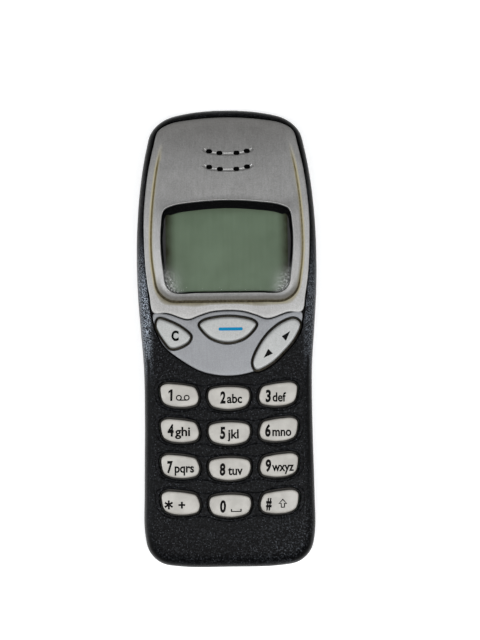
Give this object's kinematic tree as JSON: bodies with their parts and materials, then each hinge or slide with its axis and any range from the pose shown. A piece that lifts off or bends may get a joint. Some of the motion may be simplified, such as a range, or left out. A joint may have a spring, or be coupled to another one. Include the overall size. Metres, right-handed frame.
{
  "type": "mobile phone",
  "caption": "Pocket mobile phone with no outside aerial: curved two-part case, small display, sprung number keys, a rocker and a lift-off back over the battery.",
  "frame": {"origin": "middle of the phone on the flat of its back, bottom centre of the bounding box", "axes": "+X to the right seen from the front, +Y towards the earpiece end, +Z out of the display; the phone lies on its back"},
  "size_m": [0.049, 0.1239, 0.0223],
  "materials": {
    "charcoal_shell": "fine metallic charcoal paint",
    "silver_paint": "satin silver paint on plastic",
    "silver_blue_paint": "satin silver paint on plastic",
    "clear_window": "clear acrylic",
    "key_plastic": "pale silver-grey, satin",
    "black_rubber": "matt",
    "circuit_board": "green solder mask",
    "steel": "plain",
    "display_glass": "grey-green reflective display",
    "white_plastic": "plain",
    "frame_plastic": "plain",
    "gold_plate": "gold plated",
    "battery_case": "plain",
    "card_plastic": "plain"
  },
  "bodies": {
    "chassis": {"chassis_frame": "frame_plastic", "main_board": "circuit_board", "dome_switch_foil": "steel", "rubber_keymat": "black_rubber", "lcd_frame": "steel", "lcd_light_guide": "white_plastic", "lcd_glass": "display_glass", "earpiece": "steel", "rf_shield_upper": "steel", "rf_shield_lower": "steel", "buzzer": "black_rubber", "power_switch": "steel", "screw_1": "steel", "screw_2": "steel", "screw_3": "steel", "screw_4": "steel", "antenna_carrier": "white_plastic", "antenna_plate": "gold_plate", "battery": "battery_case", "battery_contact_1": "gold_plate", "battery_contact_2": "gold_plate", "battery_contact_3": "gold_plate", "battery_contact_4": "gold_plate", "sim_reader": "white_plastic", "sim_card": "card_plastic", "system_connector": "black_rubber", "charger_jack": "steel", "connector_contacts_1": "gold_plate", "connector_contacts_2": "gold_plate", "microphone": "black_rubber", "vibration_motor": "steel", "release_spring": "steel"},
    "front_cover": {"front_cover": "charcoal_shell", "silver_fascia": "silver_paint", "function_key_panel": "silver_blue_paint", "display_window": "clear_window"},
    "key_1": {"key_1": "key_plastic"},
    "key_2": {"key_2": "key_plastic"},
    "key_3": {"key_3": "key_plastic"},
    "key_4": {"key_4": "key_plastic"},
    "key_5": {"key_5": "key_plastic"},
    "key_6": {"key_6": "key_plastic"},
    "key_7": {"key_7": "key_plastic"},
    "key_8": {"key_8": "key_plastic"},
    "key_9": {"key_9": "key_plastic"},
    "key_star": {"key_star": "key_plastic"},
    "key_0": {"key_0": "key_plastic"},
    "key_hash": {"key_hash": "key_plastic"},
    "navi_key": {"navi_key": "key_plastic"},
    "clear_key": {"clear_key": "key_plastic"},
    "scroll_key": {"scroll_key": "key_plastic"},
    "power_button": {"power_button": "black_rubber"},
    "back_cover": {"back_cover": "charcoal_shell"},
    "release_button": {"release_button": "charcoal_shell"},
    "vibration_weight": {"vibration_weight": "steel"},
    "sim_card_holder": {"sim_card_holder": "steel"}
  },
  "joints": [
    {"name": "front_cover_lift", "type": "slide", "parent": "chassis", "child": "front_cover", "axis": [0, 0, 1], "range_m": [0, 0.02]},
    {"name": "back_cover_lift", "type": "slide", "parent": "chassis", "child": "back_cover", "axis": [0, 0, -1], "range_m": [0, 0.025]},
    {"name": "release_button_press", "type": "slide", "parent": "back_cover", "child": "release_button", "axis": [0, 0, 1], "range_m": [0, 0.001], "stiffness_N_per_m": 500},
    {"name": "power_button_press", "type": "slide", "parent": "chassis", "child": "power_button", "axis": [0, -1, 0], "range_m": [0, 0.0006], "stiffness_N_per_m": 800},
    {"name": "key_1_press", "type": "slide", "parent": "front_cover", "child": "key_1", "axis": [0, 0, -1], "range_m": [0, 0.0006], "stiffness_N_per_m": 800},
    {"name": "key_2_press", "type": "slide", "parent": "front_cover", "child": "key_2", "axis": [0, 0, -1], "range_m": [0, 0.0006], "stiffness_N_per_m": 800},
    {"name": "key_3_press", "type": "slide", "parent": "front_cover", "child": "key_3", "axis": [0, 0, -1], "range_m": [0, 0.0006], "stiffness_N_per_m": 800},
    {"name": "key_4_press", "type": "slide", "parent": "front_cover", "child": "key_4", "axis": [0, 0, -1], "range_m": [0, 0.0006], "stiffness_N_per_m": 800},
    {"name": "key_5_press", "type": "slide", "parent": "front_cover", "child": "key_5", "axis": [0, 0, -1], "range_m": [0, 0.0006], "stiffness_N_per_m": 800},
    {"name": "key_6_press", "type": "slide", "parent": "front_cover", "child": "key_6", "axis": [0, 0, -1], "range_m": [0, 0.0006], "stiffness_N_per_m": 800},
    {"name": "key_7_press", "type": "slide", "parent": "front_cover", "child": "key_7", "axis": [0, 0, -1], "range_m": [0, 0.0006], "stiffness_N_per_m": 800},
    {"name": "key_8_press", "type": "slide", "parent": "front_cover", "child": "key_8", "axis": [0, 0, -1], "range_m": [0, 0.0006], "stiffness_N_per_m": 800},
    {"name": "key_9_press", "type": "slide", "parent": "front_cover", "child": "key_9", "axis": [0, 0, -1], "range_m": [0, 0.0006], "stiffness_N_per_m": 800},
    {"name": "key_star_press", "type": "slide", "parent": "front_cover", "child": "key_star", "axis": [0, 0, -1], "range_m": [0, 0.0006], "stiffness_N_per_m": 800},
    {"name": "key_0_press", "type": "slide", "parent": "front_cover", "child": "key_0", "axis": [0, 0, -1], "range_m": [0, 0.0006], "stiffness_N_per_m": 800},
    {"name": "key_hash_press", "type": "slide", "parent": "front_cover", "child": "key_hash", "axis": [0, 0, -1], "range_m": [0, 0.0006], "stiffness_N_per_m": 800},
    {"name": "navi_key_press", "type": "slide", "parent": "front_cover", "child": "navi_key", "axis": [0, 0, -1], "range_m": [0, 0.0006], "stiffness_N_per_m": 800},
    {"name": "clear_key_press", "type": "slide", "parent": "front_cover", "child": "clear_key", "axis": [0, 0, -1], "range_m": [0, 0.0006], "stiffness_N_per_m": 800},
    {"name": "scroll_key_rock", "type": "hinge", "parent": "front_cover", "child": "scroll_key", "pos_m": [0.0132, -0.002, 0.0195], "axis": [0.7071, -0.7071, 0], "range_deg": [-3, 3], "stiffness_Nm_per_rad": 0.06},
    {"name": "vibration_weight_spin", "type": "hinge", "parent": "chassis", "child": "vibration_weight", "pos_m": [0.003, -0.0492, 0.0089], "axis": [1, 0, 0], "continuous": true},
    {"name": "sim_card_holder_lock", "type": "slide", "parent": "chassis", "child": "sim_card_holder", "axis": [0, 1, 0], "range_m": [0, 0.002]}
  ]
}
